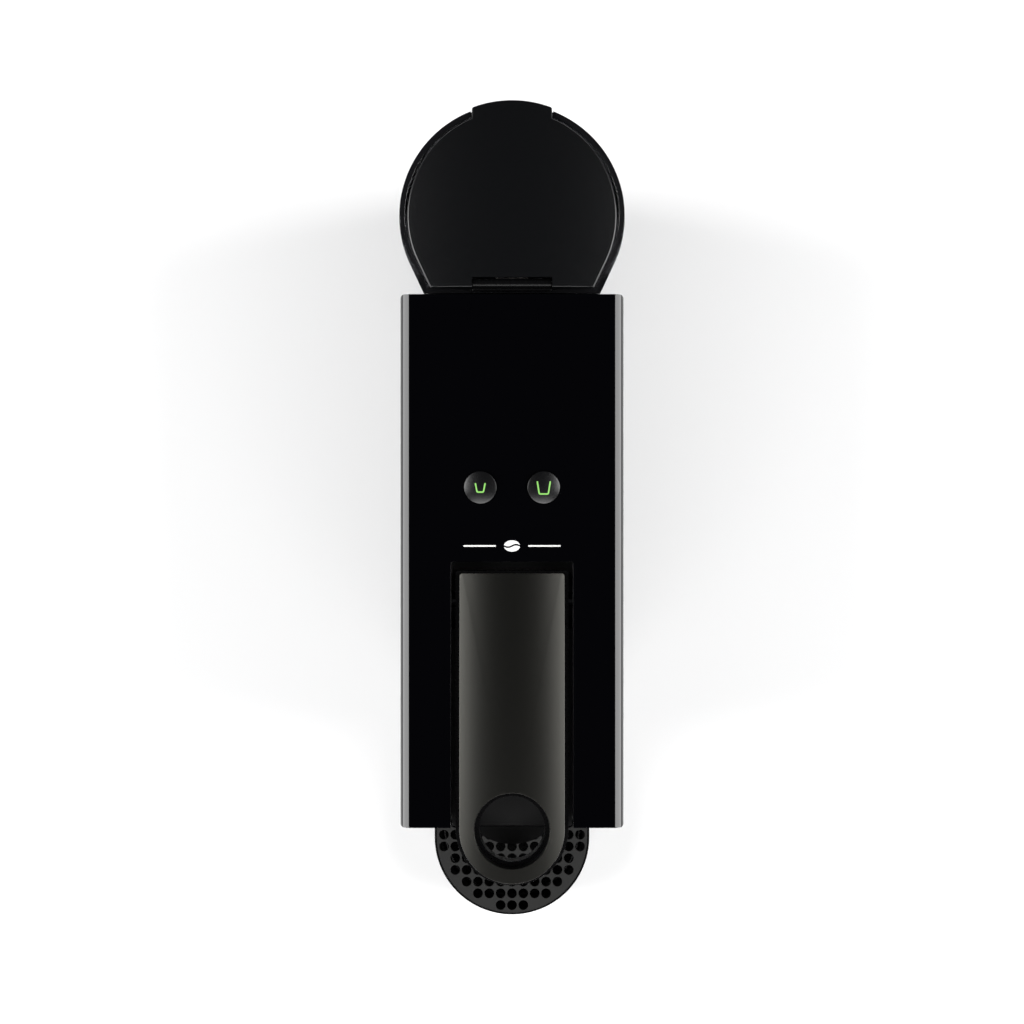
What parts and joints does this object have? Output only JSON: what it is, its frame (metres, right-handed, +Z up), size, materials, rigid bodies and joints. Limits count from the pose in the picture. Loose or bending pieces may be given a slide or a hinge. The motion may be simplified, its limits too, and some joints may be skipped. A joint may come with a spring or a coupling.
{
  "type": "pod coffee machine",
  "caption": "Slim countertop pod coffee machine with a top lever, overhanging brew head, round rear water tank, pod bin and drip tray.",
  "frame": {"origin": "on the table under the middle of the machine's outline: centre of the bounding box's bottom face", "axes": "+Z up, -Y to the front where the cup stands, +Y to the water tank, +X to the right of someone facing the front"},
  "size_m": [0.0838, 0.33, 0.204],
  "materials": {
    "gloss_black_shell": "high gloss",
    "matt_black_plastic": "fine satin texture",
    "satin_grey_plastic": "satin",
    "smoke_clear_plastic": "clear smoke tint, polished",
    "black_rubber": "matt",
    "steel": "bright",
    "aluminium": "as cast",
    "natural_plastic": "natural acetal",
    "circuit_board": "solder-mask green",
    "silicone": "translucent milky"
  },
  "bodies": {
    "chassis": {"main_housing": "gloss_black_shell", "base_plate": "matt_black_plastic", "foot_front_left": "black_rubber", "foot_front_right": "black_rubber", "foot_rear_left": "black_rubber", "foot_rear_right": "black_rubber", "rear_panel": "matt_black_plastic", "rear_screw_left": "steel", "rear_screw_right": "steel", "cord_gland": "black_rubber", "head_bottom_cover": "matt_black_plastic", "bay_wall": "matt_black_plastic", "outlet_cowl": "matt_black_plastic", "coffee_spout": "matt_black_plastic", "lever_channel": "matt_black_plastic", "brew_frame": "natural_plastic", "extraction_plate": "steel", "feed_tube": "steel", "thermoblock": "aluminium", "pressure_tube": "silicone", "brew_hose": "silicone", "pump_body": "natural_plastic", "pump_coil": "steel", "pump_mount_front": "black_rubber", "pump_mount_rear": "black_rubber", "flowmeter_body": "natural_plastic", "flowmeter_cover": "natural_plastic", "suction_hose": "silicone", "pump_inlet_hose": "silicone", "espresso_button_spring": "steel", "lungo_button_spring": "steel", "button_guide": "matt_black_plastic", "control_board": "circuit_board", "power_board": "circuit_board", "tank_dock": "matt_black_plastic", "dock_seal": "black_rubber"},
    "lever": {"lever_frame": "matt_black_plastic", "lever_cover": "satin_grey_plastic", "lever_shaft": "steel"},
    "pull_links": {"pull_link_left": "steel", "pull_link_right": "steel"},
    "rocker": {"rocker_shaft": "steel", "rocker_fork": "aluminium"},
    "cage": {"capsule_cage": "natural_plastic", "cage_seal": "black_rubber", "piercing_plate": "steel", "cage_carriage": "natural_plastic"},
    "espresso_button": {"espresso_button": "gloss_black_shell"},
    "lungo_button": {"lungo_button": "gloss_black_shell"},
    "tank": {"water_tank": "smoke_clear_plastic", "tank_valve_body": "natural_plastic", "lid_hinge_pin": "steel", "tank_valve_spring": "steel"},
    "tank_valve": {"tank_valve_poppet": "natural_plastic"},
    "tank_lid": {"tank_lid": "matt_black_plastic"},
    "flow_impeller": {"flowmeter_impeller": "natural_plastic"},
    "pump_piston": {"pump_piston": "steel"},
    "capsule_bin": {"capsule_container": "matt_black_plastic"},
    "drip_tray": {"drip_tray": "matt_black_plastic"},
    "drip_grid": {"drip_grid": "satin_grey_plastic"}
  },
  "joints": [
    {"name": "lever_hinge", "type": "hinge", "parent": "chassis", "child": "lever", "pos_m": [0, -0.02, 0.192], "axis": [-1, 0, 0], "range_deg": [0, 75]},
    {"name": "pull_link_pivot", "type": "hinge", "parent": "lever", "child": "pull_links", "pos_m": [0, -0.02465, 0.18203], "axis": [-1, 0, 0], "range_deg": [-82, 0]},
    {"name": "rocker_pivot", "type": "hinge", "parent": "chassis", "child": "rocker", "pos_m": [0, -0.01745, 0.13575], "axis": [-1, 0, 0], "range_deg": [0, 60.1]},
    {"name": "cage_slide", "type": "slide", "parent": "chassis", "child": "cage", "axis": [0, 1, 0], "range_m": [0, 0.02801]},
    {"name": "espresso_press", "type": "slide", "parent": "chassis", "child": "espresso_button", "axis": [0, 0, -1], "range_m": [0, 0.0012], "stiffness_N_per_m": 400, "springref_m": -0.002, "deforming": ["espresso_button_spring"]},
    {"name": "lungo_press", "type": "slide", "parent": "chassis", "child": "lungo_button", "axis": [0, 0, -1], "range_m": [0, 0.0012], "stiffness_N_per_m": 400, "springref_m": -0.002, "deforming": ["lungo_button_spring"]},
    {"name": "tank_lift", "type": "slide", "parent": "chassis", "child": "tank", "axis": [0, 0, 1], "range_m": [0, 0.05]},
    {"name": "lid_hinge", "type": "hinge", "parent": "tank", "child": "tank_lid", "pos_m": [0, 0.0974, 0.197], "axis": [1, 0, 0], "range_deg": [0, 90]},
    {"name": "tank_valve_lift", "type": "slide", "parent": "tank", "child": "tank_valve", "axis": [0, 0, 1], "range_m": [0, 0.002], "stiffness_N_per_m": 150, "springref_m": -0.002, "deforming": ["tank_valve_spring"]},
    {"name": "bin_slide", "type": "slide", "parent": "chassis", "child": "capsule_bin", "axis": [0, -1, 0], "range_m": [0, 0.08]},
    {"name": "tray_lift", "type": "slide", "parent": "capsule_bin", "child": "drip_tray", "axis": [0, 0, 1], "range_m": [0, 0.03]},
    {"name": "grid_lift", "type": "slide", "parent": "drip_tray", "child": "drip_grid", "axis": [0, 0, 1], "range_m": [0, 0.015]},
    {"name": "impeller_spin", "type": "hinge", "parent": "chassis", "child": "flow_impeller", "pos_m": [0.024, 0.07, 0.08], "axis": [0, 0, 1], "continuous": true},
    {"name": "pump_stroke", "type": "slide", "parent": "chassis", "child": "pump_piston", "axis": [0, 1, 0], "range_m": [-0.0015, 0.0015], "stiffness_N_per_m": 2000}
  ],
  "couplings": [
    {"joint": "pull_link_pivot", "follows": "lever_hinge", "ratio": -1.0903},
    {"joint": "rocker_pivot", "follows": "lever_hinge", "ratio": 0.8},
    {"joint": "cage_slide", "follows": "lever_hinge", "m_per_rad": 0.02139}
  ]
}
